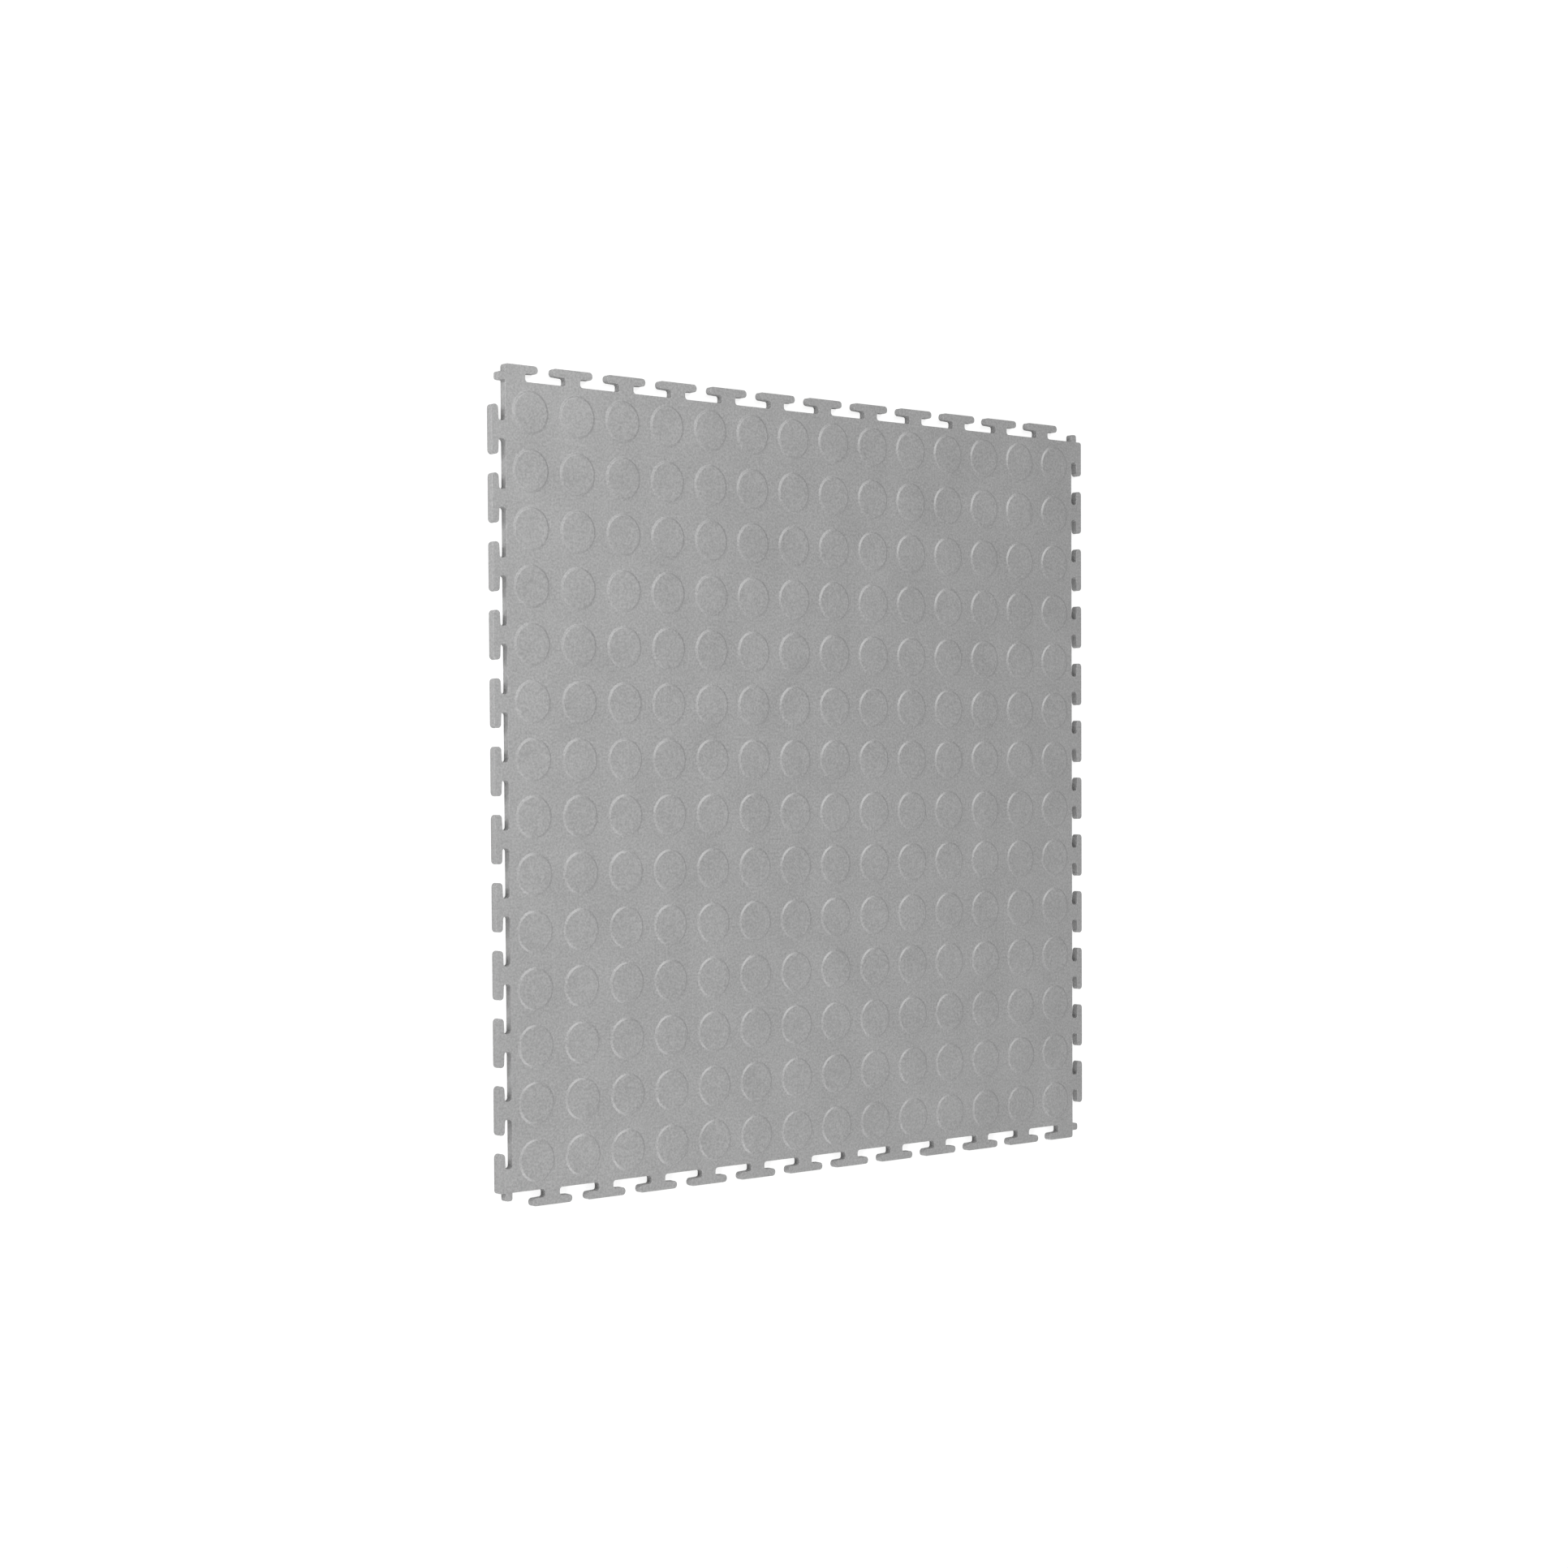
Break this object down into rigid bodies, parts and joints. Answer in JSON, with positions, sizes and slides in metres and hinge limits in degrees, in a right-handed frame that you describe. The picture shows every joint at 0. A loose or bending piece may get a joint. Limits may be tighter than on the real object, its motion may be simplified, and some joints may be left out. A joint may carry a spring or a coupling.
{
  "type": "interlocking pvc floor tile",
  "caption": "Square flexible PVC floor tile with round coin studs on top and T-shaped lock tabs along all sides, lying flat.",
  "frame": {"origin": "centre of the underside, on the floor that the tile lies on", "axes": "+Z up out of the studded face; X and Y along the sides. Seen from above with +Y up, the north side starts with its half tab at the -X end, and the other sides follow by quarter turns clockwise"},
  "size_m": [0.51, 0.51, 0.0056],
  "materials": {
    "pvc": "matte"
  },
  "bodies": {
    "root": {"floor_tile": "pvc"}
  },
  "joints": []
}
